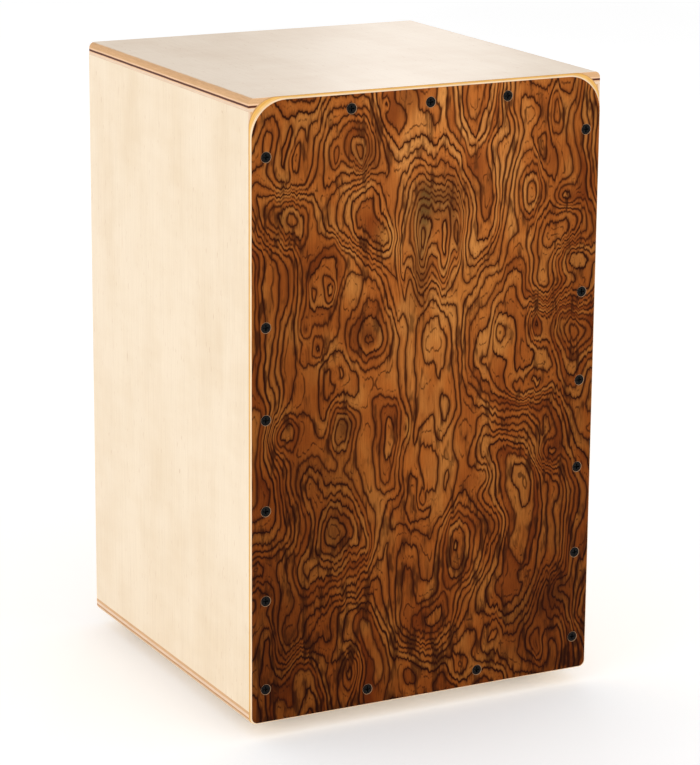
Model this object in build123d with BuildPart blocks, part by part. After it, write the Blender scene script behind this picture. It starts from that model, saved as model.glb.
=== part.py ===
from build123d import *
import os

# A box drum (cajon) with fixed snares. Millimetres, +Z up. The struck front plate
# faces -Y and +X is on the right of a person who looks at that plate. The origin
# is on the floor, under the centre of the whole box.

os.makedirs("parts", exist_ok=True)

# ---------------------------------------------------------------- driving sizes
body_width = 300.0
body_depth = 300.0
body_height = 485.0
panel = 10.0  # plywood of the top, bottom and both sides
panel_round = 5.0  # rounding along the long outer edges of top and bottom
rear_ease = 0.8  # sanded edge at the rear of top and bottom

plate = 3.0  # struck front plate
plate_chamfer = 1.2  # light rim cut round the front plate's face
plate_side_gap = 0.3  # how far the rim stands in from the body's sides
plate_top_gap = 1.3  # how far the rim stands in from the body's top
plate_top_radius = 29.0  # large rounded corners at the top of the rim
plate_back_radius = 22.0  # the same corners where the plate meets the body
plate_foot_radius = 5.0

back_sheet = 6.0
port_radius = 57.5
port_rise = 290.0  # port centre above the underside of the body
port_ease = 1.5

batten = 15.0  # square glue strips inside the front and rear openings

foot_height = 12.0
foot_radius = 15.0
foot_tread_radius = 13.0
foot_inset = 45.0  # foot centre in from the body's outer faces
foot_recess_radius = 6.5
foot_web = 4.0  # rubber left above the recess
foot_tread_round = 1.5
washer_sheet = 1.0
washer_clearance = 0.4
foot_screw_bite = 8.0  # screw length inside the bottom panel
foot_head_radius = 3.8
foot_head_face = 3.2
foot_head_height = 2.2

# front plate screws: distances in from the body's edges
screw_edge = 13.0
corner_screw_drop = 44.0
side_screw_first = 27.2
side_screw_pitch = 71.3
side_screw_count = 5
top_screw_pitch = 66.7
bottom_screw_half_gap = 49.0

# countersunk wood screws
head_radius = 4.0
shank_radius = 1.75
plate_screw_length = 16.0
drive_span = 4.6
drive_width = 1.1
drive_depth = 1.7
hole_clearance = 0.06
plate_sink = 0.55  # how far the plate's screw heads sit below its face
pilot_spare = 0.5  # pilot hole left past a screw's point

# snares
snare_bar_height = 25.0
snare_bar_rise = 330.0  # underside of the bar above the underside of the body
snare_centre = 52.0  # middle of each wire set from the drum's centre line
wire_count = 10
wire_pitch = 4.0
wire_radius = 1.1
wire_length = 84.0
wire_clip_gap = 0.3  # between the clip and the wires in front of it
wire_plate_gap = 0.6  # between the wires' tops and the plate
clip_width = 58.0
clip_height = 13.0
clip_sheet = 0.8
clip_corner = 2.0
strip_width = 42.0
strip_height = 7.0
strip_corner = 1.0
strip_gap = 0.02
small_shank_radius = 1.5
small_head_radius = 3.0
small_head_height = 1.6
small_head_face = 2.2
small_drive = 1.6
clip_screw_half_gap = 24.0
clip_screw_length = 12.0
bar_screw_length = 25.0
bar_screw_half_gap = 7.0

# ---------------------------------------------------------------- derived places
base_z = foot_height
top_z = base_z + body_height
floor_z = base_z + panel
ceiling_z = top_z - panel
front_y = -(body_depth + plate) / 2
joint_y = front_y + plate
rear_y = joint_y + body_depth
half_width = body_width / 2
inner_x = half_width - panel
inner_height = ceiling_z - floor_z
batten_span = 2 * (inner_x - batten)
bar_front_y = joint_y + batten
bar_mid_z = base_z + snare_bar_rise + snare_bar_height / 2


def front_facing(y):
    """Plane at this y whose normal is -Y, with local x = X and local y = Z."""
    return Plane.XZ.offset(-y)


def rear_facing(y):
    """Plane at this y whose normal is +Y, with local x = -X and local y = Z."""
    return Plane(origin=(0, y, 0), x_dir=(-1, 0, 0), z_dir=(0, 1, 0))


def save(builder, name):
    """Label the piece and write it as parts/name.step."""
    builder.part.label = name
    export_step(builder.part, f"parts/{name}.step")


side_screw_x = half_width - screw_edge
side_screw_rises = [side_screw_first + side_screw_pitch * i for i in range(side_screw_count)]
side_screw_rises.append(body_height - corner_screw_drop)
side_screws = [base_z + rise for rise in side_screw_rises]
top_screws = [-top_screw_pitch, 0.0, top_screw_pitch]
bottom_screws = [-bottom_screw_half_gap, bottom_screw_half_gap]
plate_screw_points = (
    [(sign * side_screw_x, z) for sign in (-1, 1) for z in side_screws]
    + [(x, top_z - screw_edge) for x in top_screws]
    + [(x, base_z + screw_edge) for x in bottom_screws]
)
foot_points = [
    (sx * (half_width - foot_inset), y)
    for sx in (-1, 1)
    for y in (joint_y + foot_inset, rear_y - foot_inset)
]
pilot_radius = shank_radius + hole_clearance

# ---------------------------------------------------------------- body panels
with BuildPart() as top_panel:
    with BuildSketch(front_facing(joint_y)) as top_profile:
        with Locations((0, top_z - panel / 2)):
            Rectangle(body_width, panel)
        fillet(top_profile.vertices().group_by(Axis.Y)[-1], radius=panel_round)
    extrude(amount=-body_depth)
    rear_top = top_panel.edges().filter_by(Axis.X).group_by(Axis.Y)[-1].sort_by(Axis.Z)[-1]
    fillet(rear_top, radius=rear_ease)
save(top_panel, "top_panel")

with BuildPart() as bottom_panel:
    with BuildSketch(front_facing(joint_y)) as bottom_profile:
        with Locations((0, base_z + panel / 2)):
            Rectangle(body_width, panel)
        fillet(bottom_profile.vertices().group_by(Axis.Y)[0], radius=panel_round)
    extrude(amount=-body_depth)
    with BuildSketch(Plane.XY.offset(base_z)):
        with Locations(*foot_points):
            Circle(pilot_radius)
    extrude(amount=panel, mode=Mode.SUBTRACT)
save(bottom_panel, "bottom_panel")

for side, sign in (("left", -1), ("right", 1)):
    with BuildPart() as side_panel:
        with BuildSketch(Plane.XY.offset(floor_z)):
            with Locations((sign * (half_width - panel / 2), joint_y + body_depth / 2)):
                Rectangle(panel, body_depth)
        extrude(amount=inner_height)
    save(side_panel, f"{side}_side_panel")

with BuildPart() as back_panel:
    with BuildSketch(front_facing(rear_y)):
        with Locations((0, floor_z + inner_height / 2)):
            Rectangle(2 * inner_x, inner_height)
        with Locations((0, base_z + port_rise)):
            Circle(port_radius, mode=Mode.SUBTRACT)
    extrude(amount=back_sheet)
    fillet(back_panel.edges().filter_by(GeomType.CIRCLE), radius=port_ease)
save(back_panel, "back_panel")

# ---------------------------------------------------------------- front plate


def plate_outline(y, side_gap, top_gap, bottom_gap, top_radius):
    """Upright outline of the front plate at depth y, in from the body's faces."""
    width = body_width - 2 * side_gap
    height = body_height - top_gap - bottom_gap
    with BuildSketch(front_facing(y)) as outline:
        with Locations((0, base_z + bottom_gap + height / 2)):
            Rectangle(width, height)
        fillet(outline.vertices().group_by(Axis.Y)[-1], radius=top_radius)
        fillet(outline.vertices().group_by(Axis.Y)[0], radius=plate_foot_radius)
    return outline.sketch


rim_y = front_y + plate_chamfer
face_radius = plate_top_radius - plate_chamfer
with BuildPart() as front_plate:
    loft(
        sections=[
            plate_outline(joint_y, 0, 0, 0, plate_back_radius).face(),
            plate_outline(rim_y, plate_side_gap, plate_top_gap, 0, plate_top_radius).face(),
            plate_outline(
                front_y,
                plate_side_gap + plate_chamfer,
                plate_top_gap + plate_chamfer,
                plate_chamfer,
                face_radius,
            ).face(),
        ],
        ruled=True,
    )
    with Locations(front_facing(front_y)):
        with Locations(*plate_screw_points):
            CounterSinkHole(
                radius=pilot_radius,
                counter_sink_radius=head_radius + hole_clearance + plate_sink,
                depth=plate,
                counter_sink_angle=90,
            )
save(front_plate, "front_plate")

# ---------------------------------------------------------------- screws


def countersunk_screw(length):
    """Cross-head screw: its head's face at z = 0, its point at z = -length."""
    cone = head_radius - shank_radius
    tip = 2 * shank_radius
    with BuildPart() as screw:
        with BuildSketch(Plane.XZ):
            with BuildLine():
                Polyline(
                    (0, 0),
                    (head_radius, 0),
                    (shank_radius, -cone),
                    (shank_radius, -length + tip),
                    (0, -length),
                    close=True,
                )
            make_face()
        revolve(axis=Axis.Z)
        with BuildSketch(Plane.XY):
            Rectangle(drive_span, drive_width)
            Rectangle(drive_width, drive_span)
        extrude(amount=-drive_depth, mode=Mode.SUBTRACT)
    return screw.part


def pan_screw(length):
    """Small flat-headed screw: its head sits on z = 0, its point at z = -length."""
    tip = 2 * small_shank_radius
    with BuildPart() as screw:
        with BuildSketch(Plane.XZ):
            with BuildLine():
                Polyline(
                    (0, small_head_height),
                    (small_head_face, small_head_height),
                    (small_head_radius, small_head_height / 2),
                    (small_head_radius, 0),
                    (small_shank_radius, 0),
                    (small_shank_radius, -length + tip),
                    (0, -length),
                    close=True,
                )
            make_face()
        revolve(axis=Axis.Z)
        with BuildSketch(Plane.XY.offset(small_head_height)):
            Rectangle(2 * small_drive, small_drive / 2)
            Rectangle(small_drive / 2, 2 * small_drive)
        extrude(amount=-small_head_height / 2, mode=Mode.SUBTRACT)
    return screw.part


with BuildPart() as front_plate_screws:
    with Locations(front_facing(front_y + plate_sink)):
        with Locations(*plate_screw_points):
            add(countersunk_screw(plate_screw_length))
save(front_plate_screws, "front_plate_screws")

# ---------------------------------------------------------------- battens
plate_screw_reach = plate_screw_length + plate_sink - plate + pilot_spare
bar_screw_points = [
    (sign * (inner_x - batten / 2), bar_mid_z + dz)
    for sign in (-1, 1)
    for dz in (-bar_screw_half_gap, bar_screw_half_gap)
]
bar_screw_reach = bar_screw_length - batten + pilot_spare

for side, sign in (("left", -1), ("right", 1)):
    with BuildPart() as front_upright:
        with BuildSketch(Plane.XY.offset(floor_z)):
            with Locations((sign * (inner_x - batten / 2), joint_y + batten / 2)):
                Rectangle(batten, batten)
        extrude(amount=inner_height)
        with BuildSketch(front_facing(joint_y)):
            with Locations(*[(sign * side_screw_x, z) for z in side_screws]):
                Circle(pilot_radius)
        extrude(amount=-plate_screw_reach, mode=Mode.SUBTRACT)
        with BuildSketch(front_facing(bar_front_y)):
            with Locations(*[point for point in bar_screw_points if point[0] * sign > 0]):
                Circle(pilot_radius)
        extrude(amount=bar_screw_reach, mode=Mode.SUBTRACT)
    save(front_upright, f"front_batten_{side}")

    with BuildPart() as rear_upright:
        with BuildSketch(Plane.XY.offset(floor_z)):
            with Locations((sign * (inner_x - batten / 2), rear_y - back_sheet - batten / 2)):
                Rectangle(batten, batten)
        extrude(amount=inner_height)
    save(rear_upright, f"rear_batten_{side}")

for end, mid_z, screw_xs, screw_z in (
    ("top", ceiling_z - batten / 2, top_screws, top_z - screw_edge),
    ("bottom", floor_z + batten / 2, bottom_screws, base_z + screw_edge),
):
    with BuildPart() as front_rail:
        with BuildSketch(front_facing(joint_y)):
            with Locations((0, mid_z)):
                Rectangle(batten_span, batten)
        extrude(amount=-batten)
        with BuildSketch(front_facing(joint_y)):
            with Locations(*[(x, screw_z) for x in screw_xs]):
                Circle(pilot_radius)
        extrude(amount=-plate_screw_reach, mode=Mode.SUBTRACT)
    save(front_rail, f"front_batten_{end}")

    with BuildPart() as rear_rail:
        with BuildSketch(front_facing(rear_y - back_sheet)):
            with Locations((0, mid_z)):
                Rectangle(batten_span, batten)
        extrude(amount=batten)
    save(rear_rail, f"rear_batten_{end}")

# ---------------------------------------------------------------- snares
clip_mid_z = base_z + snare_bar_rise + snare_bar_height - clip_height / 2
clip_screw_points = [
    (sign * snare_centre + dx, clip_mid_z)
    for sign in (-1, 1)
    for dx in (-clip_screw_half_gap, clip_screw_half_gap)
]

with BuildPart() as snare_bar:
    with BuildSketch(front_facing(bar_front_y)):
        with Locations((0, bar_mid_z)):
            Rectangle(2 * inner_x, snare_bar_height)
    extrude(amount=-batten)
    with BuildSketch(front_facing(bar_front_y)):
        with Locations(*clip_screw_points):
            Circle(small_shank_radius + hole_clearance)
    extrude(amount=-clip_screw_length, mode=Mode.SUBTRACT)
    with Locations(rear_facing(bar_front_y + batten)):
        with Locations(*bar_screw_points):
            CounterSinkHole(
                radius=pilot_radius,
                counter_sink_radius=head_radius + hole_clearance,
                depth=batten,
                counter_sink_angle=90,
            )
save(snare_bar, "snare_bar")

with BuildPart() as snare_bar_screws:
    with Locations(rear_facing(bar_front_y + batten)):
        with Locations(*bar_screw_points):
            add(countersunk_screw(bar_screw_length))
save(snare_bar_screws, "snare_bar_screws")

with BuildPart() as snare_clip_screws:
    with Locations(front_facing(bar_front_y - clip_sheet)):
        with Locations(*clip_screw_points):
            add(pan_screw(clip_screw_length - clip_sheet))
save(snare_clip_screws, "snare_clip_screws")

# The wires lean forward from the clip until their tops rest just behind the plate.
wire_start_y = bar_front_y - clip_sheet - wire_radius - wire_clip_gap
wire_start_z = clip_mid_z
wire_end_y = joint_y + wire_radius + wire_plate_gap
wire_rise = (wire_length**2 - (wire_start_y - wire_end_y) ** 2) ** 0.5
wire_direction = Vector(0, wire_end_y - wire_start_y, wire_rise).normalized()
wire_back = Vector(0, 1, 0) - wire_direction * wire_direction.Y

for side, sign in (("left", -1), ("right", 1)):
    start = Vector(sign * snare_centre, wire_start_y, wire_start_z)
    across = Plane(origin=start, x_dir=(1, 0, 0), z_dir=wire_direction)
    with BuildPart() as snare_wires:
        with BuildSketch(across):
            with GridLocations(wire_pitch, 1, wire_count, 1):
                Circle(wire_radius)
        extrude(amount=wire_length)
    save(snare_wires, f"snare_wires_{side}")

    with BuildPart() as snare_clip:
        with BuildSketch(front_facing(bar_front_y)):
            with Locations((sign * snare_centre, clip_mid_z)):
                RectangleRounded(clip_width, clip_height, clip_corner)
            with Locations(*[point for point in clip_screw_points if point[0] * sign > 0]):
                Circle(small_shank_radius + hole_clearance, mode=Mode.SUBTRACT)
        extrude(amount=clip_sheet)
    save(snare_clip, f"snare_clip_{side}")

    strip_origin = start + wire_direction * (wire_length - strip_height)
    strip_origin += wire_back.normalized() * (wire_radius + strip_gap)
    lying = Plane(origin=strip_origin, x_dir=(1, 0, 0), z_dir=wire_back)
    with BuildPart() as snare_strip:
        with BuildSketch(lying):
            RectangleRounded(strip_width, strip_height, strip_corner)
        extrude(amount=clip_sheet)
    save(snare_strip, f"snare_end_strip_{side}")

# ---------------------------------------------------------------- feet
recess_height = foot_height - foot_web
washer_radius = foot_recess_radius - washer_clearance
screw_seat_z = recess_height - washer_sheet
foot_head_z = screw_seat_z - foot_head_height
foot_screw_top = recess_height + foot_web + foot_screw_bite

with BuildPart() as foot:
    with BuildSketch(Plane.XZ) as foot_profile:
        with BuildLine():
            Polyline(
                (pilot_radius, recess_height),
                (foot_recess_radius, recess_height),
                (foot_recess_radius, 0),
                (foot_tread_radius, 0),
                (foot_radius, foot_height),
                (pilot_radius, foot_height),
                close=True,
            )
        make_face()
        tread_corner = foot_profile.vertices().group_by(Axis.Y)[0].sort_by(Axis.X)[-1]
        fillet(tread_corner, radius=foot_tread_round)
    revolve(axis=Axis.Z)

with BuildPart() as washer:
    with BuildSketch(Plane.XY.offset(screw_seat_z)):
        Circle(washer_radius)
        Circle(pilot_radius, mode=Mode.SUBTRACT)
    extrude(amount=washer_sheet)

with BuildPart() as foot_screw:
    with BuildSketch(Plane.XZ):
        with BuildLine():
            Polyline(
                (0, foot_head_z),
                (foot_head_face, foot_head_z),
                (foot_head_radius, foot_head_z + foot_head_height / 2),
                (foot_head_radius, screw_seat_z),
                (shank_radius, screw_seat_z),
                (shank_radius, foot_screw_top - 2 * shank_radius),
                (0, foot_screw_top),
                close=True,
            )
        make_face()
    revolve(axis=Axis.Z)
    with BuildSketch(Plane.XY.offset(foot_head_z)):
        Rectangle(drive_span, drive_width)
        Rectangle(drive_width, drive_span)
    extrude(amount=foot_head_height / 2, mode=Mode.SUBTRACT)

foot_names = ("front_left", "rear_left", "front_right", "rear_right")
for name, point in zip(foot_names, foot_points):
    with BuildPart() as placed_foot:
        with Locations(point):
            add(foot.part)
    save(placed_foot, f"foot_{name}")

with BuildPart() as foot_washers:
    with Locations(*foot_points):
        add(washer.part)
save(foot_washers, "foot_washers")

with BuildPart() as foot_screws:
    with Locations(*foot_points):
        add(foot_screw.part)
save(foot_screws, "foot_screws")
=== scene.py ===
import math

import bmesh
import bpy
import numpy as np
from mathutils import Matrix, Vector


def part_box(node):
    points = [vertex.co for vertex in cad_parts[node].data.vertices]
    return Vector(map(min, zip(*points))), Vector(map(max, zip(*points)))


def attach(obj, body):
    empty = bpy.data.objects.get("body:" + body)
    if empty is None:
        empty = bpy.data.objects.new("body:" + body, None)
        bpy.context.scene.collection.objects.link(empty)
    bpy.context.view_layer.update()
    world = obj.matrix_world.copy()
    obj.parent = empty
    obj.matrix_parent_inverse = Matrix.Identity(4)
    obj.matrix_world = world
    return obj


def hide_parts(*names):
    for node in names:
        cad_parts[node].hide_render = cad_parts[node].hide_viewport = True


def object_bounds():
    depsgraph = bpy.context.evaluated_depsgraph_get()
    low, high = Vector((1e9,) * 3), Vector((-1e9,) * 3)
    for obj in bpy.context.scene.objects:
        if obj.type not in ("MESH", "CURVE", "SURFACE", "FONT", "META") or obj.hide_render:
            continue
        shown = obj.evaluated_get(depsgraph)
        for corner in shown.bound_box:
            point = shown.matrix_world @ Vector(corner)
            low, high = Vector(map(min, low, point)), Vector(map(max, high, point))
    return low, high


# Looks of the box drum. Every length here is in metres unless its name or comment says
# mm: the materials work on object coordinates scaled to millimetres.

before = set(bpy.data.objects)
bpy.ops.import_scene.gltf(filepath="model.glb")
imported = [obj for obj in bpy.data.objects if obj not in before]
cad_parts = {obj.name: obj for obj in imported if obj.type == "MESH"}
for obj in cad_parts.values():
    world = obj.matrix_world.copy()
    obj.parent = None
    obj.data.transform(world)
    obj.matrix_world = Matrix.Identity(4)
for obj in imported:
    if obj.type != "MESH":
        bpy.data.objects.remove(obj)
cad_low, cad_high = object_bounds()

MM = 1000.0
FLOOR_SIDE = 24.0
BOX_HEIGHT_MM = (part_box("top_panel")[1].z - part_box("bottom_panel")[0].z) * MM


# ------------------------------------------------------------------ node building


def rgb(red, green, blue):
    """Linear colour from three 0-255 display values."""
    linear = []
    for value in (red, green, blue):
        share = value / 255
        if share <= 0.04045:
            linear.append(share / 12.92)
        else:
            linear.append(((share + 0.055) / 1.055) ** 2.4)
    return (*linear, 1.0)


class Nodes:
    """Short names for the nodes of one tree."""

    def __init__(self, tree):
        self.tree = tree

    def add(self, kind, *inputs, **settings):
        """New node. Inputs are sockets to link from, plain values, or None to leave alone."""
        node = self.tree.nodes.new("ShaderNode" + kind)
        for name, value in settings.items():
            setattr(node, name, value)
        for socket, value in zip(node.inputs, inputs):
            self.put(socket, value)
        return node

    def put(self, socket, value):
        """Link a socket into this one, or set its plain value."""
        if isinstance(value, bpy.types.NodeSocket):
            self.tree.links.new(value, socket)
        elif value is not None:
            socket.default_value = value

    def math(self, operation, *inputs):
        return self.add("Math", *inputs, operation=operation).outputs[0]

    def vector(self, operation, *inputs):
        """Vector maths. SCALE takes a vector and a plain factor."""
        node = self.add("VectorMath", operation=operation)
        if operation == "SCALE":
            self.put(node.inputs["Vector"], inputs[0])
            self.put(node.inputs["Scale"], inputs[1])
        else:
            for socket, value in zip(node.inputs, inputs):
                self.put(socket, value)
        single = operation in ("DOT_PRODUCT", "LENGTH")
        return node.outputs["Value" if single else "Vector"]

    def object_mm(self):
        """Object coordinates in millimetres."""
        coords = self.add("TexCoord").outputs["Object"]
        return self.vector("SCALE", coords, MM)

    def axes(self, vector):
        return self.add("SeparateXYZ", vector).outputs

    def join(self, x, y, z):
        return self.add("CombineXYZ", x, y, z).outputs[0]

    def noise(self, vector, size, detail=2.0, roughness=0.5, colour=False):
        """Noise whose grain is about size (x, y, z) in the units of the vector."""
        scaled = self.vector("DIVIDE", vector, size)
        node = self.add("TexNoise")
        self.put(node.inputs["Vector"], scaled)
        node.inputs["Scale"].default_value = 1.0
        node.inputs["Detail"].default_value = detail
        node.inputs["Roughness"].default_value = roughness
        return node.outputs["Color" if colour else "Fac"]

    def remap(self, value, low, high, to_low=0.0, to_high=1.0, smooth=False):
        """Map low..high to to_low..to_high, held at both ends."""
        node = self.add("MapRange", value, low, high, to_low, to_high, clamp=True)
        node.interpolation_type = "SMOOTHSTEP" if smooth else "LINEAR"
        return node.outputs[0]

    def mix(self, share, first, second, blend="MIX"):
        """First colour at share 0, second (or the blend with it) at share 1."""
        node = self.add("Mix", data_type="RGBA", blend_type=blend)
        self.put(node.inputs[0], share)
        self.put(node.inputs[6], first)
        self.put(node.inputs[7], second)
        return node.outputs[2]

    def ramp(self, value, stops):
        """Colour ramp from (position, colour) stops."""
        node = self.add("ValToRGB", value)
        elements = node.color_ramp.elements
        while len(elements) < len(stops):
            elements.new(0.5)
        for element, (position, colour) in zip(elements, stops):
            element.position = position
            element.color = colour
        return node.outputs[0]

    def bump(self, height, distance, strength):
        """Normal of a surface whose height, 0 to 1, stands for this distance in metres."""
        node = self.add("Bump")
        node.inputs["Strength"].default_value = strength
        node.inputs["Distance"].default_value = distance
        self.put(node.inputs["Height"], height)
        return node.outputs[0]


class Material(Nodes):
    """One procedural material with a single Principled shader."""

    def __init__(self, name):
        self.data = bpy.data.materials.new(name)
        self.data.use_nodes = True
        super().__init__(self.data.node_tree)
        self.tree.nodes.clear()
        self.shader = self.add("BsdfPrincipled")
        output = self.add("OutputMaterial")
        self.tree.links.new(self.shader.outputs[0], output.inputs["Surface"])
        self.mm = self.object_mm()

    def set(self, **values):
        """Set shader sockets by name, with underscores for spaces."""
        for name, value in values.items():
            self.put(self.shader.inputs[name.replace("_", " ")], value)


# ------------------------------------------------------------------ burl figure

# Eyes of the burl: centre x and height above the underside of the box,
# half width and half height, and how many rings the eye adds to the growth. All in mm.
EYES = [
    (4, 368, 37, 60, 8.0),
    (8, 128, 58, 108, 8.2),
    (10, 122, 27, 34, -3.4),
    (-58, 437, 31, 35, 7.6),
    (-55, 436, 11, 15, 2.0),
    (-20, 478, 13, 17, 2.6),
    (-37, 475, 3, 4, 1.3),
    (-125, 392, 20, 19, 4.6),
    (-112, 440, 5, 19, 2.4),
    (-135, 455, 9, 22, 2.2),
    (-80, 440, 3, 9, 1.2),
    (93, 392, 13, 24, 4.6),
    (121, 390, 11, 12, 3.2),
    (-35, 372, 9, 14, -2.0),
    (-6, 350, 4, 34, 2.2),
    (12, 345, 4, 30, 2.4),
    (24, 372, 4, 20, 2.0),
    (-20, 340, 4, 30, 2.2),
    (-88, 345, 19, 32, 4.4),
    (-100, 332, 5, 10, 1.6),
    (-85, 334, 5, 9, 1.6),
    (-52, 297, 28, 26, 6.4),
    (126, 341, 18, 13, 4.6),
    (-107, 288, 4, 9, 1.4),
    (-94, 293, 6, 11, 2.0),
    (-106, 310, 5, 10, 1.6),
    (-79, 268, 4, 7, 1.2),
    (62, 288, 6, 13, 1.6),
    (95, 290, 7, 13, 2.4),
    (118, 288, 24, 19, 6.0),
    (80, 241, 9, 14, 2.2),
    (98, 247, 15, 11, 2.6),
    (92, 243, 36, 25, 3.8),
    (-71, 227, 13, 22, 5.6),
    (-122, 226, 16, 18, 4.6),
    (-16, 220, 5, 16, 2.2),
    (-105, 189, 18, 26, 2.4),
    (-31, 214, 12, 38, 4.0),
    (110, 187, 11, 11, 3.0),
    (103, 208, 3, 8, 1.2),
    (52, 172, 12, 12, 3.0),
    (-5, 163, 5, 9, 2.0),
    (-78, 150, 24, 48, 6.4),
    (-106, 112, 13, 24, 3.6),
    (-55, 130, 9, 14, 2.0),
    (-12, 136, 22, 14, 1.2),
    (31, 112, 13, 24, 3.6),
    (86, 86, 5, 7, 1.4),
    (-146, 124, 15, 14, 2.6),
    (-66, 34, 7, 16, 3.0),
    (-28, 30, 10, 22, 2.4),
    (106, 24, 7, 16, 2.6),
    (119, 66, 11, 18, 3.0),
    (-118, 52, 10, 22, 3.0),
    (0, 60, 22, 20, 3.4),
    (62, 45, 12, 16, 2.6),
    (30, 20, 9, 16, 2.2),
    (144, 470, 14, 30, 3.6),
    (108, 466, 7, 24, 2.8),
    (-140, 330, 8, 30, 2.6),
    (78, 322, 15, 24, 2.4),
]

# Lines crowd together where the growth climbs a step. Each step is a curve down the
# plate, listed as (height above the box's underside, x) points, with its climb in rings and its
# width. All in mm.
STEPS = [
    ([(485, 62), (430, 68), (370, 60), (325, 38), (285, 32), (240, 50), (200, 72),
      (160, 104), (0, 118)], 6.0, 17.0),
    ([(485, -128), (430, -122), (405, -100), (385, -84), (360, -56), (320, -26),
      (290, -14), (240, -44), (200, -58), (100, -62), (0, -64)], -5.0, 16.0),
    ([(485, 162), (420, 150), (330, 152), (260, 126), (200, 128), (120, 136),
      (60, 142), (0, 132)], 7.5, 17.0),
    ([(485, -160), (360, -142), (300, -131), (250, -128), (160, -150), (90, -138),
      (40, -96), (0, -84)], 5.0, 13.0),
]
# Scales the whole growth, and with it the number of lines.
RINGS_TUNING = 1.08
# Steps may run this far (mm) to either side of the plate's middle.
STEP_REACH = 160.0


def step_curve(nodes, height_mm, points):
    """x of one step at this height, read from a float curve set through the listed points."""
    share = nodes.math("DIVIDE", height_mm, BOX_HEIGHT_MM)
    curve = nodes.add("FloatCurve")
    nodes.put(curve.inputs["Value"], share)
    line = curve.mapping.curves[0]
    ordered = sorted(points)
    while len(line.points) < len(ordered):
        line.points.new(0.5, 0.5)
    for point, (height, x) in zip(line.points, ordered):
        point.location = (height / BOX_HEIGHT_MM, (x + STEP_REACH) / (2 * STEP_REACH))
    curve.mapping.update()
    return nodes.math("MULTIPLY_ADD", curve.outputs[0], 2 * STEP_REACH, -STEP_REACH)


def bell(n, point, centre, half_width, half_height):
    """1 at the centre, falling off smoothly over the half sizes."""
    away = n.vector("SUBTRACT", point, centre)
    away = n.vector("MULTIPLY", away, (1 / half_width, 0, 1 / half_height))
    return n.math("EXPONENT", n.math("MULTIPLY", n.vector("DOT_PRODUCT", away, away), -1.0))


def burl_growth_group(base_mm):
    """Group: point on the plate in mm -> growth. Each whole number is one dark line."""
    group = bpy.data.node_groups.new("burl_growth", "ShaderNodeTree")
    group.interface.new_socket("Point", in_out="INPUT", socket_type="NodeSocketVector")
    group.interface.new_socket("Growth", in_out="OUTPUT", socket_type="NodeSocketFloat")
    n = Nodes(group)
    start = group.nodes.new("NodeGroupInput").outputs[0]
    x, _, z = n.axes(start)
    flat = n.join(x, 0.0, n.math("SUBTRACT", z, base_mm))

    # Wander and ripple deform the eyes. Streaks and teeth shift the figure up and down
    # from one fibre to the next, which makes the lines jagged where they run level.
    wander = n.vector("SUBTRACT", n.noise(flat, (46, 1, 60), 1.0, colour=True), (0.5,) * 3)
    ripple = n.vector("SUBTRACT", n.noise(flat, (13, 1, 17), 1.0, colour=True), (0.5,) * 3)
    bent = n.vector("MULTIPLY_ADD", wander, (15, 0, 18), flat)
    bent = n.vector("MULTIPLY_ADD", ripple, (4, 0, 6), bent)
    streak = n.math("SUBTRACT", n.noise(flat, (7.0, 1, 50), 3.0, 0.6), 0.5)
    teeth = n.math("SUBTRACT", n.noise(flat, (2.9, 1, 30), 1.0), 0.5)
    rise = n.math("MULTIPLY_ADD", teeth, 4.5, n.math("MULTIPLY", streak, 13.0))
    bent = n.vector("ADD", bent, n.join(0.0, 0.0, rise))

    # Broad noise, then the steps, then the eyes.
    growth = n.math("MULTIPLY", n.noise(bent, (60, 1, 110), 1.0, 0.4), 17.0)
    growth = n.math("MULTIPLY_ADD", n.noise(bent, (23, 1, 50), 1.0, 0.4), 3.6, growth)
    bent_x, _, bent_z = n.axes(bent)
    for points, climb, width in STEPS:
        away = n.math("SUBTRACT", bent_x, step_curve(n, bent_z, points))
        share = n.math("TANH", n.math("DIVIDE", away, width))
        growth = n.math("MULTIPLY_ADD", share, climb / 2, growth)
    for eye_x, eye_z, half_width, half_height, rings in EYES:
        fall = bell(n, bent, (eye_x, 0, eye_z), half_width, half_height)
        growth = n.math("MULTIPLY_ADD", fall, rings, growth)

    growth = n.math("MULTIPLY", growth, RINGS_TUNING)
    end = group.nodes.new("NodeGroupOutput")
    group.links.new(growth, end.inputs[0])
    return group


# Soft tinted areas of the veneer: x, height above the box's underside, half width,
# half height in mm, strength, and which stain.
STAINS = [
    (8, 398, 27, 17, 0.62, "moss"),
    (-4, 390, 5, 22, 0.6, "moss"),
    (20, 385, 4, 20, 0.55, "umber"),
    (-8, 345, 10, 40, 0.5, "moss"),
    (-54, 436, 13, 17, 0.55, "umber"),
    (-20, 476, 11, 14, 0.5, "umber"),
    (-51, 302, 13, 12, 0.45, "umber"),
    (-71, 227, 8, 12, 0.75, "umber"),
    (-79, 150, 12, 34, 0.5, "umber"),
    (-125, 392, 10, 10, 0.35, "moss"),
    (120, 66, 14, 18, 0.65, "umber"),
    (90, 50, 18, 34, 0.45, "umber"),
    (-128, 60, 26, 60, 0.4, "umber"),
    (-36, 372, 8, 12, 0.65, "honey"),
    (-16, 220, 3, 12, 0.9, "honey"),
    (-70, 190, 24, 24, 0.35, "honey"),
    (62, 288, 6, 10, 0.45, "honey"),
    (118, 286, 9, 8, 0.45, "honey"),
    (-28, 32, 9, 20, 0.45, "honey"),
    (40, 330, 26, 30, 0.3, "honey"),
    (-105, 190, 14, 20, 0.25, "honey"),
]
STAIN_COLOURS = {
    "moss": rgb(100, 76, 36),
    "umber": rgb(84, 42, 12),
    "honey": rgb(214, 146, 70),
}


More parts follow.
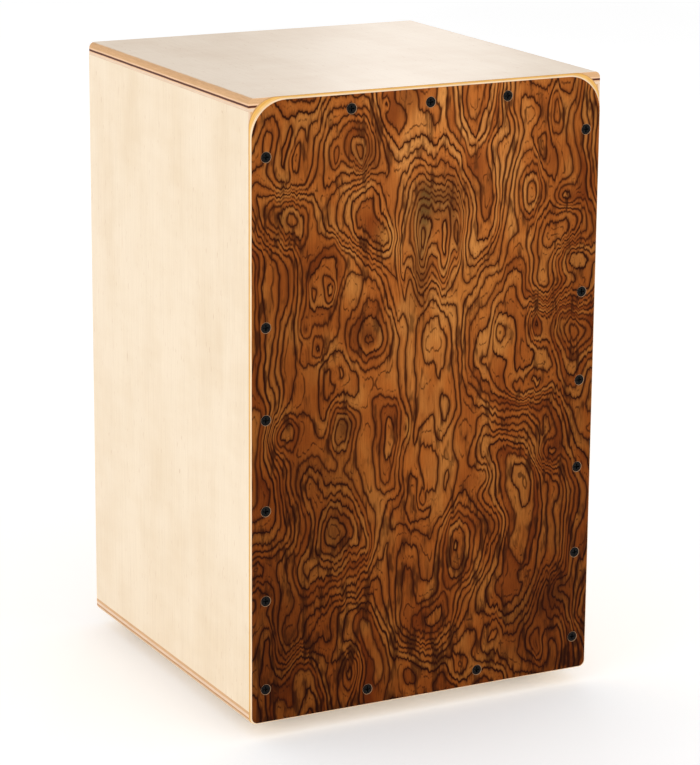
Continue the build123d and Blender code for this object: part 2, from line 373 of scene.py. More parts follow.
def stain_mask(m, point, base_mm, wanted):
    """How strongly one stain tints each point of the plate."""
    total = 0.0
    for x, z, half_width, half_height, share, stain in STAINS:
        if stain == wanted:
            fall = bell(m, point, (x, 0, z + base_mm), half_width, half_height)
            total = m.math("MULTIPLY_ADD", fall, share, total)
    return m.math("MINIMUM", total, 0.9)


# The veneer's own colours, then the painted shade: the share of light kept at the foot, at the top
# and at the long edges.
LINE_COLOUR = rgb(50, 17, 2)
HALO_COLOUR = rgb(94, 42, 10)
SMOKE_COLOUR = rgb(66, 34, 12)
PORE_COLOUR = rgb(70, 34, 14)
BAND_COLOUR = rgb(128, 68, 30)
FOOT_PAINTED_SHADE = 0.50
TOP_PAINTED_LIGHT = 1.06
EDGE_PAINTED_SHADE = 0.66


def growth_and_slope(m, point, group):
    """Growth at a point of the plate, and its steepness in rings per mm."""
    def growth_at(offset):
        shifted = m.vector("ADD", point, offset)
        node = m.add("Group", node_tree=group)
        m.put(node.inputs[0], shifted)
        return node.outputs[0]

    apart_mm, flattest = 0.4, 0.02
    here = growth_at((0, 0, 0))
    across = m.math("DIVIDE", m.math("SUBTRACT", growth_at((apart_mm, 0, 0)), here), apart_mm)
    up = m.math("DIVIDE", m.math("SUBTRACT", growth_at((0, 0, apart_mm)), here), apart_mm)
    across_squared = m.math("MULTIPLY", across, across)
    up_squared = m.math("MULTIPLY", up, up)
    slope = m.math("SQRT", m.math("ADD", across_squared, up_squared))
    return here, m.math("MAXIMUM", slope, flattest)


def burl_lines(m, point, here, slope):
    """Dark line and soft halo masks, and the distance in mm to the nearest line."""
    whole = m.math("ROUND", here)
    to_line = m.math("DIVIDE", m.math("ABSOLUTE", m.math("SUBTRACT", here, whole)), slope)
    breath = m.noise(point, (9, 9, 26), 2.0, 0.6)
    half_line = m.remap(breath, 0.3, 0.7, 0.40, 0.86)
    # Neither a line nor its halo takes more than its share of a ring.
    line_share, extra_share, halo_width_mm = 0.21, 0.06, 3.2
    apart = m.math("ABSOLUTE", m.math("SUBTRACT", here, whole))
    own_width = m.math("DIVIDE", to_line, half_line)
    reach_out = m.math("MAXIMUM", own_width, m.math("DIVIDE", apart, line_share))
    line = m.remap(reach_out, 0.6, 1.6, 1.0, 0.0, smooth=True)
    halo_reach = m.math("DIVIDE", to_line, halo_width_mm)
    halo_out = m.math("MAXIMUM", halo_reach, m.math("MULTIPLY", apart, 2.0))
    halo = m.remap(halo_out, 0.1, 1.0, 1.0, 0.0, smooth=True)
    strength = m.add("TexWhiteNoise", noise_dimensions="1D")
    m.put(strength.inputs["W"], whole)
    line = m.math("MULTIPLY", line, m.remap(strength.outputs[0], 0.0, 1.0, 0.62, 1.0))
    # Where the lines would crowd, every second one fades out.
    odd = m.math("PINGPONG", whole, 1.0)
    crowded = m.remap(slope, 0.28, 0.42)
    kept = m.math("SUBTRACT", 1.0, m.math("MULTIPLY", odd, crowded))
    line = m.math("MULTIPLY", line, kept)
    # Where they would lie far apart, one more runs halfway between.
    halfway = m.math("SUBTRACT", 0.5, apart)
    extra_width = m.math("DIVIDE", halfway, m.math("MULTIPLY", slope, half_line))
    extra = m.math("MAXIMUM", extra_width, m.math("DIVIDE", halfway, extra_share))
    extra = m.remap(extra, 0.5, 1.6, 0.72, 0.0, smooth=True)
    extra = m.math("MULTIPLY", extra, m.remap(slope, 0.06, 0.13, 1.0, 0.0))
    return m.math("MAXIMUM", line, extra), halo, to_line


def burl_base(m, point, here, masks):
    """Veneer between the lines: one tone to each ring, clouds, stains and fibre."""
    band = m.add("TexWhiteNoise", noise_dimensions="1D")
    m.put(band.inputs["W"], m.math("FLOOR", here))
    cloud = m.noise(point, (30, 30, 56), 2.0, 0.55)
    tone = m.math("MULTIPLY_ADD", band.outputs[0], 0.36, m.math("MULTIPLY", cloud, 0.92))
    base = m.ramp(tone, [
        (0.36, rgb(144, 68, 20)),
        (0.50, rgb(178, 96, 36)),
        (0.66, rgb(200, 115, 47)),
        (0.82, rgb(218, 142, 70)),
    ])
    for stain, stain_colour in STAIN_COLOURS.items():
        base = m.mix(masks[stain], base, stain_colour)

    fibre = m.noise(point, (0.55, 1, 16), 3.0, 0.65)
    tint = m.ramp(fibre, [(0.3, rgb(150, 150, 150)), (0.7, rgb(255, 255, 255))])
    base = m.mix(0.5, base, tint, "MULTIPLY")
    within = m.math("FRACT", here)
    return m.mix(m.math("MULTIPLY", within, 0.30), base, BAND_COLOUR)


def burl_smoke(m, point, base_mm, to_line):
    """Smoky patches, strongest beside the lines and more of them low down."""
    height = m.axes(point)[2]
    smoke = m.noise(m.vector("ADD", point, (300, 0, 90)), (5.5, 5, 22), 2.0, 0.6)
    smoke = m.math("ADD", smoke, m.remap(height, base_mm, base_mm + 260, 0.085, 0.0))
    smoke = m.remap(smoke, 0.54, 0.70, smooth=True)
    return m.math("MULTIPLY", smoke, m.remap(to_line, 1.0, 6.0, 0.9, 0.35))


def burl_painted_shade(m, point, base_mm):
    """Painted shade: the sheet is darker and redder low down and towards its long edges, where the
    studio light falls off.
    """
    lightest_x, fall_from, fall_to = 14, 20, 134
    green_power, blue_power = 1.28, 1.8
    x, _, z = m.axes(point)
    # Painted shade up the plate: darkest at the foot, a little brightened near the top.
    depth = m.math("POWER", m.remap(z, base_mm, base_mm + 430), 1.3)
    depth = m.math("MULTIPLY_ADD", depth, TOP_PAINTED_LIGHT - FOOT_PAINTED_SHADE, FOOT_PAINTED_SHADE)
    away = m.math("ABSOLUTE", m.math("SUBTRACT", x, lightest_x))
    painted_edge_dimming = m.remap(away, fall_from, fall_to, 1.0, EDGE_PAINTED_SHADE, smooth=True)
    depth = m.math("MULTIPLY", depth, painted_edge_dimming)
    return m.join(depth, m.math("POWER", depth, green_power), m.math("POWER", depth, blue_power))


def burl_colour(m, point, base_mm):
    """Colour of the burl veneer at a point on the plate in mm, and its line mask."""
    # The stain masks come first, one sum each, so that few values wait in the shader.
    masks = {stain: stain_mask(m, point, base_mm, stain) for stain in STAIN_COLOURS}
    here, slope = growth_and_slope(m, point, burl_growth_group(base_mm))
    line, halo, to_line = burl_lines(m, point, here, slope)
    base = burl_base(m, point, here, masks)
    base = m.mix(burl_smoke(m, point, base_mm, to_line), base, SMOKE_COLOUR)
    colour = m.mix(m.math("MULTIPLY", halo, 0.62), base, HALO_COLOUR)
    colour = m.mix(m.math("MULTIPLY", line, 0.97), colour, LINE_COLOUR)
    pores = m.noise(point, (0.35, 1, 3.2), 1.0)
    pores = m.math("MULTIPLY", m.remap(pores, 0.70, 0.78), 0.35)
    colour = m.mix(pores, colour, PORE_COLOUR)
    # The veneer's colour is multiplied by painted shade: darker and redder low down and towards
    # the long edges.
    return m.mix(1.0, colour, burl_painted_shade(m, point, base_mm), "MULTIPLY"), line


# ------------------------------------------------------------------ plywood and solid wood


def facing(m, axis):
    """1 where the surface looks along this axis (0, 1 or 2), 0 on the sheet's edges."""
    normal = m.add("NewGeometry").outputs["Normal"]
    along = m.math("ABSOLUTE", m.axes(normal)[axis])
    return m.remap(along, 0.985, 0.998)


def layer_ramp(m, depth, layers, thickness):
    """Hard-edged ramp of ply layers from (start depth in mm, colour) pairs."""
    softness = 0.12 / thickness
    stops = [(0.0, layers[0][1])]
    for (start, colour), (_, before) in zip(layers[1:], layers):
        stops.append((max(0.0, start / thickness - softness), before))
        stops.append((start / thickness + softness, colour))
    return m.ramp(depth, stops)


def ply_edge(m, axis, origin_mm, thickness, layers):
    """Colour of a sheet's cut edge: layers by depth, alternate ones cut across the grain."""
    shaky = m.math("MULTIPLY", m.math("SUBTRACT", m.noise(m.mm, (9, 9, 9), 2.0), 0.5), 0.35)
    depth = m.math("SUBTRACT", m.axes(m.mm)[axis], origin_mm)
    depth = m.math("DIVIDE", m.math("ADD", depth, shaky), thickness)
    colour = layer_ramp(m, depth, layers, abs(thickness))
    long_size = [14.0] * 3
    long_size[axis] = 0.3
    grain = m.noise(m.mm, tuple(long_size), 3.0, 0.65)
    dots = m.noise(m.mm, (0.5, 0.5, 0.5), 2.0, 0.6)
    fine = m.math("ADD", m.math("MULTIPLY", grain, 0.6), m.math("MULTIPLY", dots, 0.4))
    tone = m.ramp(fine, [(0.35, rgb(206, 196, 184)), (0.65, rgb(255, 255, 255))])
    return m.mix(0.75, colour, tone, "MULTIPLY")


def birch_face(m, light, dark, grain_axis):
    """Pale rotary-cut birch: soft clouds, cross flame and short pores along the grain."""
    def stretched(across, along):
        size = [across] * 3
        size[grain_axis] = along
        return tuple(size)

    cloud = m.noise(m.mm, stretched(46, 110), 2.0, 0.55)
    flame = m.noise(m.mm, stretched(36, 15), 3.0, 0.55)
    figure = m.math("ADD", m.math("MULTIPLY", cloud, 0.7), m.math("MULTIPLY", flame, 0.3))
    colour = m.ramp(figure, [(0.32, dark), (0.58, light)])
    fibre = m.noise(m.mm, stretched(0.8, 42), 3.0, 0.62)
    tone = m.ramp(fibre, [(0.32, rgb(238, 233, 226)), (0.6, rgb(255, 255, 255))])
    colour = m.mix(0.4, colour, tone, "MULTIPLY")
    pores = m.noise(m.mm, stretched(0.42, 3.4), 1.0)
    pores = m.math("MULTIPLY", m.remap(pores, 0.70, 0.80), 0.25)
    colour = m.mix(pores, colour, rgb(190, 150, 104))
    # Flecks and streaks read the noise elsewhere, so that they miss the pores.
    flecks = m.noise(m.vector("ADD", m.mm, (19, 83, 47)), stretched(0.9, 7), 0.0)
    flecks = m.math("MULTIPLY", m.remap(flecks, 0.80, 0.86), 0.4)
    colour = m.mix(flecks, colour, rgb(186, 138, 88))
    streaks = m.noise(m.vector("ADD", m.mm, (71, 37, 53)), stretched(1.3, 24), 1.0)
    streaks = m.math("MULTIPLY", m.remap(streaks, 0.72, 0.80), 0.22)
    return m.mix(streaks, colour, rgb(206, 160, 106)), fibre


def scuffs(m):
    """Very faint random handling marks, 0 to 1."""
    marks = m.noise(m.mm, (3, 60, 3), 2.0, 0.7)
    return m.remap(marks, 0.66, 0.72)


def panel_material(name, axis, origin_mm, thickness, layers, light, dark, grain_axis):
    """Lacquered birch plywood panel: face veneer on both sides and layered edges."""
    m = Material(name)
    face, fibre = birch_face(m, light, dark, grain_axis)
    edge = ply_edge(m, axis, origin_mm, thickness, layers)
    on_face = facing(m, axis)
    colour = m.mix(on_face, edge, face)
    rough = m.remap(fibre, 0.3, 0.7, 0.36, 0.44)
    rough = m.math("ADD", rough, m.math("MULTIPLY", m.math("SUBTRACT", 1.0, on_face), 0.18))
    rough = m.math("ADD", rough, m.math("MULTIPLY", scuffs(m), 0.05))
    height = m.math("ADD", fibre, m.noise(m.mm, (1.2, 1.2, 1.2), 2.0))
    m.set(Base_Color=colour, Roughness=rough, Normal=m.bump(height, 0.00004, 0.6))
    m.set(Specular_IOR_Level=0.2, Coat_Weight=0.12, Coat_Roughness=0.2)
    return m.data


def pine_material():
    """Planed pine: growth lines along each batten's length with resin streaks."""
    m = Material("pine_solid")
    wobble = m.vector("SUBTRACT", m.noise(m.mm, (30, 30, 60), 1.0, colour=True), (0.5,) * 3)
    bent = m.vector("MULTIPLY_ADD", wobble, (5, 5, 3), m.mm)
    x, y, z = m.axes(bent)
    ring = m.math("ADD", m.math("MULTIPLY", x, 0.05), m.math("MULTIPLY", y, 0.42))
    ring = m.math("ADD", ring, m.math("MULTIPLY", z, 0.035))
    share = m.math("FRACT", ring)
    colour = m.ramp(share, [
        (0.0, rgb(233, 200, 146)),
        (0.62, rgb(226, 186, 128)),
        (0.9, rgb(196, 142, 82)),
        (1.0, rgb(231, 197, 142)),
    ])
    fibre = m.noise(m.mm, (1.1, 1.1, 20), 3.0, 0.6)
    tone = m.ramp(fibre, [(0.3, rgb(214, 206, 196)), (0.65, rgb(255, 255, 255))])
    colour = m.mix(0.8, colour, tone, "MULTIPLY")
    rough = m.remap(fibre, 0.3, 0.7, 0.55, 0.7)
    height = m.math("ADD", fibre, m.math("MULTIPLY", share, 0.4))
    m.set(Base_Color=colour, Roughness=rough, Normal=m.bump(height, 0.00008, 0.7))
    return m.data


# ------------------------------------------------------------------ metal and rubber


def metal_material(name, light, dark, rough_low, rough_high, grain=(0.8, 0.8, 0.8)):
    """Plated or brushed metal with a mottled finish and fine scratches."""
    m = Material(name)
    mottle = m.noise(m.mm, (1.6, 1.6, 1.6), 3.0, 0.6)
    colour = m.ramp(mottle, [(0.32, dark), (0.66, light)])
    brush = m.noise(m.mm, grain, 3.0, 0.7)
    rough = m.remap(m.math("ADD", mottle, brush), 0.7, 1.3, rough_low, rough_high)
    m.set(Base_Color=colour, Roughness=rough, Normal=m.bump(brush, 0.00002, 0.5))
    m.shader.inputs["Metallic"].default_value = 1.0
    return m.data


def black_screw_material():
    """Black oxide steel, mottled here and there a little towards grey."""
    m = Material("black_oxide")
    mottle = m.noise(m.mm, (0.9, 0.9, 0.9), 3.0, 0.65)
    colour = m.ramp(mottle, [(0.35, rgb(6, 5, 5)), (0.6, rgb(13, 12, 11)), (0.8, rgb(36, 34, 32))])
    rough = m.remap(mottle, 0.3, 0.7, 0.36, 0.54)
    m.set(Base_Color=colour, Roughness=rough, Normal=m.bump(mottle, 0.00003, 0.6))
    m.shader.inputs["Specular IOR Level"].default_value = 0.12
    return m.data


def rubber_material():
    """Moulded black rubber with a fine matt grain, dustier low down."""
    m = Material("foot_rubber")
    grain = m.noise(m.mm, (0.35, 0.35, 0.35), 2.0, 0.6)
    cloud = m.noise(m.mm, (7, 7, 7), 3.0, 0.6)
    _, _, z = m.axes(m.mm)
    dust = m.math("MULTIPLY", m.remap(z, 0.0, 5.0, 0.5, 0.0), cloud)
    colour = m.ramp(cloud, [(0.3, rgb(24, 24, 25)), (0.7, rgb(40, 39, 39))])
    colour = m.mix(dust, colour, rgb(120, 112, 102))
    rough = m.remap(cloud, 0.3, 0.7, 0.68, 0.86)
    m.set(Base_Color=colour, Roughness=rough, Normal=m.bump(grain, 0.00008, 0.8))
    return m.data


# ------------------------------------------------------------------ the drum's materials

BIRCH_SIDE = (rgb(243, 224, 197), rgb(236, 214, 183))
# The top is the same birch as the sides, coloured paler and less yellow for how the light falls on
# it: painted light.
BIRCH_TOP_PAINTED_LIGHT = (rgb(244, 227, 207), rgb(236, 216, 194))
TAN = rgb(230, 183, 134)
PINKISH = rgb(247, 219, 192)
BROWN = rgb(92, 34, 0)
PEACH = rgb(250, 206, 164)


def inset_mm(m, low, high):
    """How far a point of the plate is in from its round-cornered outline, up to 29 mm."""
    corner, beyond = 29.0, 1e6
    middle = (low + high) / 2 * MM
    half = (high - low) / 2 * MM
    away = m.vector("ABSOLUTE", m.vector("SUBTRACT", m.mm, (middle.x, 0, middle.z)))
    past = m.vector("SUBTRACT", away, (half.x - corner, beyond, half.z - corner))
    past = m.vector("MAXIMUM", past, (0, 0, 0))
    return m.math("SUBTRACT", corner, m.vector("LENGTH", past))


def front_plate_material():
    """Thin plywood with burl veneer on the struck face and pale birch behind."""
    low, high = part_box("front_plate")
    m = Material("burl_plate")
    burl, line = burl_colour(m, m.mm, low.z * MM)
    front_mm, back_mm = low.y * MM, high.y * MM
    thickness = back_mm - front_mm
    depth = m.math("SUBTRACT", m.axes(m.mm)[1], front_mm)
    shaky = m.math("MULTIPLY", m.math("SUBTRACT", m.noise(m.mm, (7, 7, 7), 2.0), 0.5), 0.2)
    depth = m.math("DIVIDE", m.math("ADD", depth, shaky), thickness)
    edge = layer_ramp(m, depth, [
        (0.0, rgb(252, 224, 188)),
        (1.25, rgb(242, 196, 124)),
        (1.9, rgb(238, 184, 98)),
        (2.6, rgb(206, 158, 104)),
    ], thickness)
    grain = m.noise(m.mm, (12, 0.4, 12), 3.0, 0.65)
    tone = m.ramp(grain, [(0.35, rgb(224, 214, 202)), (0.62, rgb(255, 255, 255))])
    edge = m.mix(0.7, edge, tone, "MULTIPLY")
    # Screw holes are cut where the outline is more than 6 mm away: their walls are coloured a
    # darker brown.
    inner = m.remap(inset_mm(m, low, high), 6.0, 7.0)
    edge = m.mix(m.math("MULTIPLY", inner, 0.85), edge, rgb(150, 108, 74))
    back, _ = birch_face(m, rgb(238, 208, 166), rgb(226, 188, 140), 2)
    behind = m.remap(m.axes(m.mm)[1], back_mm - 0.04, back_mm - 0.01)
    edge = m.mix(behind, edge, back)
    # The burl veneer is the front third of a millimetre.
    skin = m.remap(m.axes(m.mm)[1], front_mm + 0.28, front_mm + 0.36, 1.0, 0.0)
    colour = m.mix(skin, edge, burl)

    sheen = m.noise(m.mm, (26, 1, 40), 3.0, 0.6)
    rough = m.remap(sheen, 0.3, 0.7, 0.36, 0.46)
    rough = m.math("ADD", rough, m.math("MULTIPLY", line, 0.06))
    fine = m.noise(m.mm, (0.5, 0.5, 6), 3.0, 0.6)
    m.set(Base_Color=colour, Roughness=rough, Normal=m.bump(fine, 0.00003, 0.6))
    m.set(Specular_IOR_Level=0.035)
    return m.data


def dress(node, *materials):
    """Give a CAD node these materials in its slots."""
    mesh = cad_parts[node].data
    mesh.materials.clear()
    for material in materials:
        mesh.materials.append(material)


def dress_panels():
    """Plywood materials for the five sheets. Layers run in mm from each outer face."""
    top_low, top_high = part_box("top_panel")
    # Top, bottom and both sides are cut from plywood of one thickness.
    thick = (top_high.z - top_low.z) * MM
    top_layers = [
        (0.0, BIRCH_TOP_PAINTED_LIGHT[0]), (0.25, TAN), (4.3, PEACH), (5.5, BROWN), (7.1, PEACH),
        (7.9, PINKISH), (9.6, rgb(240, 210, 178)),
    ]
    dress("top_panel", panel_material("birch_top_painted_light", 2, top_high.z * MM, -thick, top_layers,
                                      *BIRCH_TOP_PAINTED_LIGHT, 1))
    low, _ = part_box("bottom_panel")
    bottom_layers = [
        (0.0, PINKISH), (0.3, rgb(238, 205, 166)), (3.9, rgb(206, 148, 94)), (5.3, PINKISH),
        (7.6, TAN),
    ]
    dress("bottom_panel", panel_material("birch_bottom", 2, low.z * MM, thick, bottom_layers,
                                         *BIRCH_SIDE, 1))
    side_layers = [
        (0.0, PINKISH), (1.6, TAN), (3.2, PINKISH), (4.6, rgb(150, 88, 42)),
        (5.8, PINKISH), (7.4, TAN), (9.0, PINKISH),
    ]
    for side, sign in (("left", -1), ("right", 1)):
        low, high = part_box(f"{side}_side_panel")
        outer = (low.x if sign < 0 else high.x) * MM
        material = panel_material(f"birch_{side}", 0, outer, -sign * thick, side_layers,
                                  *BIRCH_SIDE, 2)
        dress(f"{side}_side_panel", material)
    low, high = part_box("back_panel")
    back_layers = [
        (0.0, PINKISH), (1.2, TAN), (2.4, PINKISH), (3.6, rgb(196, 134, 80)), (4.8, PINKISH),
    ]
    back_thick = (high.y - low.y) * MM
    dress("back_panel", panel_material("birch_back", 1, high.y * MM, -back_thick, back_layers,
                                       rgb(244, 221, 190), rgb(237, 211, 176), 2))


def dress_frame():
    """Materials for everything but the five sheets. Returns the snares' steel."""
    pine = pine_material()
    for end in ("left", "right", "top", "bottom"):
        dress(f"front_batten_{end}", pine)
        dress(f"rear_batten_{end}", pine)
    dress("snare_bar", pine)
    dress("front_plate", front_plate_material())
    dress("front_plate_screws", black_screw_material())
    zinc = metal_material("zinc_plate", rgb(196, 196, 190), rgb(150, 152, 148), 0.28, 0.42)
    for node in ("foot_screws", "foot_washers", "snare_bar_screws", "snare_clip_screws"):
        dress(node, zinc)
    steel = metal_material("snare_steel", rgb(188, 190, 192), rgb(140, 143, 146), 0.24, 0.4,
                           (14, 0.3, 0.3))
    for side in ("left", "right"):
        dress(f"snare_clip_{side}", steel)
        dress(f"snare_end_strip_{side}", steel)
    return steel


# ------------------------------------------------------------------ new pieces


def new_piece(name, vertices, faces, material, smooth=True):
    """Mesh object from plain lists, with outward normals."""
    mesh = bpy.data.meshes.new(name)
    mesh.from_pydata([tuple(v) for v in vertices], [], faces)
    work = bmesh.new()
    work.from_mesh(mesh)
    bmesh.ops.recalc_face_normals(work, faces=work.faces)
    work.to_mesh(mesh)
    work.free()
    mesh.polygons.foreach_set("use_smooth", [smooth] * len(mesh.polygons))
    mesh.materials.append(material)
    piece = bpy.data.objects.new(name, mesh)
    bpy.context.scene.collection.objects.link(piece)
    return piece


def tube_mesh(path, radius, sides):
    """Closed tube of flat-capped rings along a path of points."""
    path = np.asarray(path, float)
    ahead = np.gradient(path, axis=0)
    ahead /= np.linalg.norm(ahead, axis=1)[:, None]
    helper = np.array([1.0, 0.0, 0.0])
    vertices, faces = [], []
    for index, (point, direction) in enumerate(zip(path, ahead)):
        side = helper - direction * (helper @ direction)
        side /= np.linalg.norm(side)
        other = np.cross(direction, side)
        helper = side
        for step in range(sides):
            turn = 2 * math.pi * step / sides
            vertices.append(point + radius * (math.cos(turn) * side + math.sin(turn) * other))
        if index:
            start, before = index * sides, (index - 1) * sides
            for step in range(sides):
                after = (step + 1) % sides
                faces.append((before + step, before + after, start + after, start + step))
    faces.append(tuple(range(sides))[::-1])
    last = (len(path) - 1) * sides
    faces.append(tuple(last + step for step in range(sides)))
    return vertices, faces


# One snare set: ten wires wound to a fine spiral, with a straight bit at each end.
SNARE_WIRES = 10
SNARE_WIRE_GAP = 0.004
COIL_RADIUS = 0.00108
COIL_WIRE_RADIUS = 0.00022
COIL_PITCH = 0.0019
COIL_STEPS_PER_TURN = 9
COIL_WIRE_SIDES = 5
STRAIGHT_END = 0.005
END_CLEARANCE = 0.00015
# Where along each straight end its two points lie, and how fast the spiral opens out.
END_POINTS = (0.02, 0.4)
OPENING = 24


def coil_path(foot, forward, outward, length, first_turn):
    """Centre line of one spiral wire that runs forward from its foot."""
    sideways = Vector((1, 0, 0))
    wound = length - 2 * STRAIGHT_END
    count = int(wound / COIL_PITCH * COIL_STEPS_PER_TURN)
    path = [foot + forward * (STRAIGHT_END * share) for share in END_POINTS]
    for step in range(count + 1):
        turn = 2 * math.pi * step / COIL_STEPS_PER_TURN + first_turn
        opened = min(1.0, OPENING * min(step, count - step) / count)
        spread = (COIL_RADIUS - COIL_WIRE_RADIUS) * opened
        offset = (sideways * math.cos(turn) + outward * math.sin(turn)) * spread
        along = STRAIGHT_END + wound * step / count
        path.append(foot + forward * along + offset)
    path += [foot + forward * (length - STRAIGHT_END * share) for share in END_POINTS[::-1]]
    return [tuple(point) for point in path]


def snare_coils(side, material):
    """Ten spiral wires that stand for the plain rods of one snare set."""
    low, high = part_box(f"snare_wires_{side}")
    run = Vector((
        0,
        low.y - high.y + 2 * COIL_RADIUS,
        high.z - low.z - 2 * END_CLEARANCE,
    ))
    forward = run.normalized()
    outward = forward.cross(Vector((1, 0, 0)))
    middle = (low.x + high.x) / 2
    vertices, faces = [], []
    for wire in range(SNARE_WIRES):
        x = middle + (wire - (SNARE_WIRES - 1) / 2) * SNARE_WIRE_GAP
        foot = Vector((x, high.y - COIL_RADIUS, low.z + END_CLEARANCE))
        path = coil_path(foot, forward, outward, run.length, wire)
        part, part_faces = tube_mesh(path, COIL_WIRE_RADIUS, COIL_WIRE_SIDES)
        shift = len(vertices)
        vertices += part
        faces += [tuple(shift + index for index in face) for face in part_faces]
    return new_piece(f"snare_coils_{side}", vertices, faces, material)


def lathe(profile, centre, segments):
    """Closed ring-shaped solid: a closed profile of (radius, z) turned about the Z axis."""
    vertices, faces = [], []
    count = len(profile)
    for step in range(segments):
        turn = 2 * math.pi * step / segments
        for radius, z in profile:
            vertices.append((
                centre.x + radius * math.cos(turn), centre.y + radius * math.sin(turn), z,
            ))
    for step in range(segments):
        here, after = step * count, (step + 1) % segments * count
        for index in range(count):
            up = (index + 1) % count
            faces.append((here + index, after + index, after + up, here + up))
    return vertices, faces


# Section of a rubber foot. Grooves are given as shares of the way from the screw recess
# to the tread's edge, or of the foot's height.
FOOT_BORE = 0.00182
FOOT_RECESS = 0.0065
FOOT_LIP = 0.0013
TREAD_GROOVES = (0.42, 0.62, 0.82)
WAIST_GROOVES = (0.42, 0.62)
GROOVE_HALF = 0.0006
GROOVE_DEPTH = 0.0006
GROOVE_FLOOR_HALF = 0.00035
WAIST_FLOOR_HALF = 0.0002
FOOT_SEGMENTS = 72


def foot_profile(low, high, radius):
    """Rubber foot's section: grooved tread, rounded lip, waist grooves, screw recess."""
    height = high - low
    bore, recess, roof = FOOT_BORE, FOOT_RECESS, low + height * 2 / 3
    tread = radius * 13 / 15
    points = [(bore, roof), (recess - 0.0004, roof), (recess, roof - 0.0004)]
    points += [(recess, low + 0.0007), (recess + 0.0006, low)]
    for groove in TREAD_GROOVES:
        middle = recess + (tread - recess) * groove
        floor = low + GROOVE_DEPTH
        points += [(middle - GROOVE_HALF, low), (middle - GROOVE_FLOOR_HALF, floor)]
        points += [(middle + GROOVE_FLOOR_HALF, floor), (middle + GROOVE_HALF, low)]
    slope = (radius - tread) / height
    for turn in (0, 30, 60, 90):
        angle = math.radians(turn)
        points.append((
            tread - FOOT_LIP + FOOT_LIP * math.sin(angle) + slope * FOOT_LIP,
            low + FOOT_LIP * (1 - math.cos(angle)),
        ))
    for rise in WAIST_GROOVES:
        z = low + height * rise
        edge = tread + slope * height * rise
        floor = edge - GROOVE_DEPTH
        points += [(edge - 0.0001, z - GROOVE_HALF), (floor, z - WAIST_FLOOR_HALF)]
        points += [(floor, z + WAIST_FLOOR_HALF), (edge, z + GROOVE_HALF)]
    points += [(radius - 0.0002, high - 0.0012), (radius - 0.00005, high - 0.0004)]
    points += [(radius - 0.0005, high), (bore, high)]
    return points


def rubber_feet():
    """Detailed rubber feet in place of the plain ones."""
    material = rubber_material()
    for place in ("front_left", "rear_left", "front_right", "rear_right"):
        low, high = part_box(f"foot_{place}")
        centre = (low + high) / 2
        profile = foot_profile(low.z, high.z, (high.x - low.x) / 2)
        vertices, faces = lathe(profile, centre, FOOT_SEGMENTS)
        foot = new_piece(f"rubber_foot_{place}", vertices, faces, material)
        sharpen(foot, 40)
        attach(foot, "root")
        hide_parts(f"foot_{place}")


def sharpen(piece, degrees):
    """Keep edges sharper than this angle crisp in the shading."""
    mesh = piece.data
    work = bmesh.new()
    work.from_mesh(mesh)
    limit = math.radians(degrees)
    for edge in work.edges:
        edge.smooth = not (len(edge.link_faces) == 2 and edge.calc_face_angle() > limit)
    work.to_mesh(mesh)
    work.free()


# ------------------------------------------------------------------ stage, light, camera


def make_floor():
    """Large pale floor that glows faintly, so that the shadow on it stays light."""
    half = FLOOR_SIDE / 2
    corners = [(-half, -half, 0), (half, -half, 0), (half, half, 0), (-half, half, 0)]
    m = Material("pale_floor")
    cloud = m.noise(m.mm, (900, 900, 900), 2.0)
    m.set(Base_Color=m.ramp(cloud, [(0.3, rgb(247, 247, 247)), (0.7, rgb(250, 250, 250))]))
    m.set(Roughness=m.remap(cloud, 0.3, 0.7, 0.7, 0.8))
    m.set(Emission_Color=(1.0, 1.0, 1.0, 1.0), Emission_Strength=0.16)
    floor = new_piece("floor", corners, [(0, 1, 2, 3)], m.data, smooth=False)


def soft_light(name, place, aim, width, height, power):
    """Rectangular soft box of this size in metres and power in watts, out of shot."""
    data = bpy.data.lights.new(name, "AREA")
    data.shape = "RECTANGLE"
    data.size = width
    data.size_y = height
    data.energy = power
    lamp = bpy.data.objects.new(name, data)
    bpy.context.scene.collection.objects.link(lamp)
    lamp.location = place
    lamp.rotation_mode = "QUATERNION"
    lamp.rotation_quaternion = (Vector(aim) - Vector(place)).to_track_quat("-Z", "Y")
    lamp.visible_camera = False


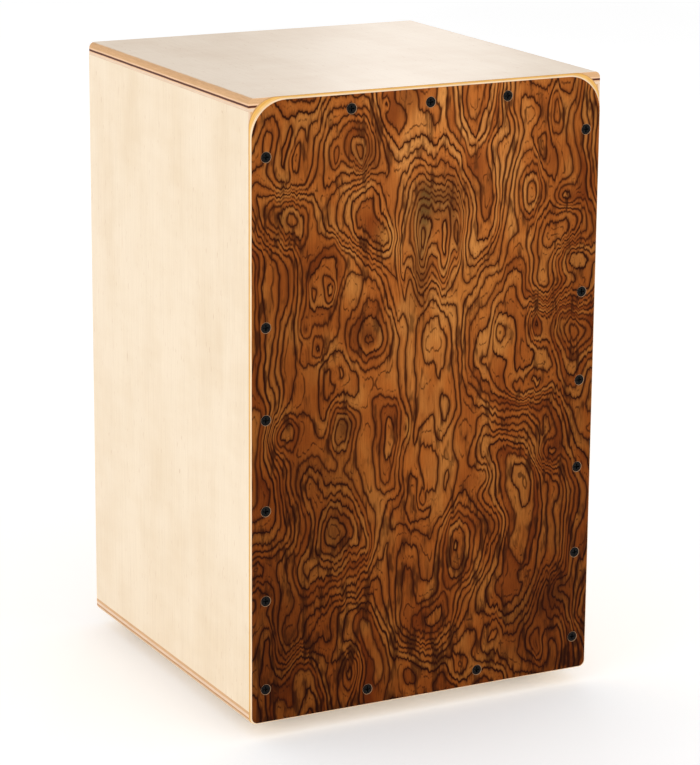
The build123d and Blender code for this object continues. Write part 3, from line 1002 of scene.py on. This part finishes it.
def make_light():
    """White room, a soft box on each visible side, and a small one that glints on top."""
    world = bpy.data.worlds.new("studio")
    bpy.context.scene.world = world
    world.use_nodes = True
    nodes = Nodes(world.node_tree)
    background = world.node_tree.nodes["Background"]
    background.inputs["Color"].default_value = (1.0, 1.0, 1.0, 1.0)
    # Dark flags round a product keep broad reflections low: glossy rays see a dimmer room.
    glossy = nodes.add("LightPath").outputs["Is Glossy Ray"]
    nodes.put(background.inputs["Strength"], nodes.remap(glossy, 0.0, 1.0, 0.94, 0.4))
    middle = (0, 0, cad_high.z / 2)
    soft_light("key_left", (-2.9, -1.2, 1.0), middle, 1.8, 1.6, 12)
    soft_light("fill_front", (1.2, -3.0, 1.1), middle, 2.0, 1.6, 10)
    soft_light("sheen_rear", (1.46, 2.55, 1.29), (0, 0, cad_high.z), 0.34, 0.2, 2.2)
    view = bpy.context.scene.view_settings
    view.view_transform = "Standard"
    view.look = "None"


def make_camera():
    """Camera at the photograph's angle, solved from the box's straight edges."""
    azimuth, elevation, roll = math.radians(-27.459), math.radians(14.933), math.radians(0.44)
    distance, rightward, upward = 2.4918, 0.010689, -0.011142
    target = Vector((0, 0, 0.242))
    back = Vector((
        math.sin(azimuth) * math.cos(elevation),
        -math.cos(azimuth) * math.cos(elevation),
        math.sin(elevation),
    ))
    level = Vector((math.cos(azimuth), math.sin(azimuth), 0))
    upright = back.cross(level)
    right = level * math.cos(roll) + upright * math.sin(roll)
    up = upright * math.cos(roll) - level * math.sin(roll)
    data = bpy.data.cameras.new("camera")
    data.lens = 144.6
    data.sensor_width = 36
    data.clip_end = 60
    camera = bpy.data.objects.new("camera", data)
    bpy.context.scene.collection.objects.link(camera)
    place = target + back * distance + right * rightward + up * upward
    turned = Matrix((right, up, back)).transposed().to_4x4()
    camera.matrix_world = Matrix.Translation(place) @ turned
    bpy.context.scene.camera = camera


# ------------------------------------------------------------------ build

make_camera()
make_light()
make_floor()
dress_panels()
snare_steel = dress_frame()
for snare_side in ("left", "right"):
    coils = snare_coils(snare_side, snare_steel)
    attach(coils, "root")
    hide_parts(f"snare_wires_{snare_side}")
rubber_feet()
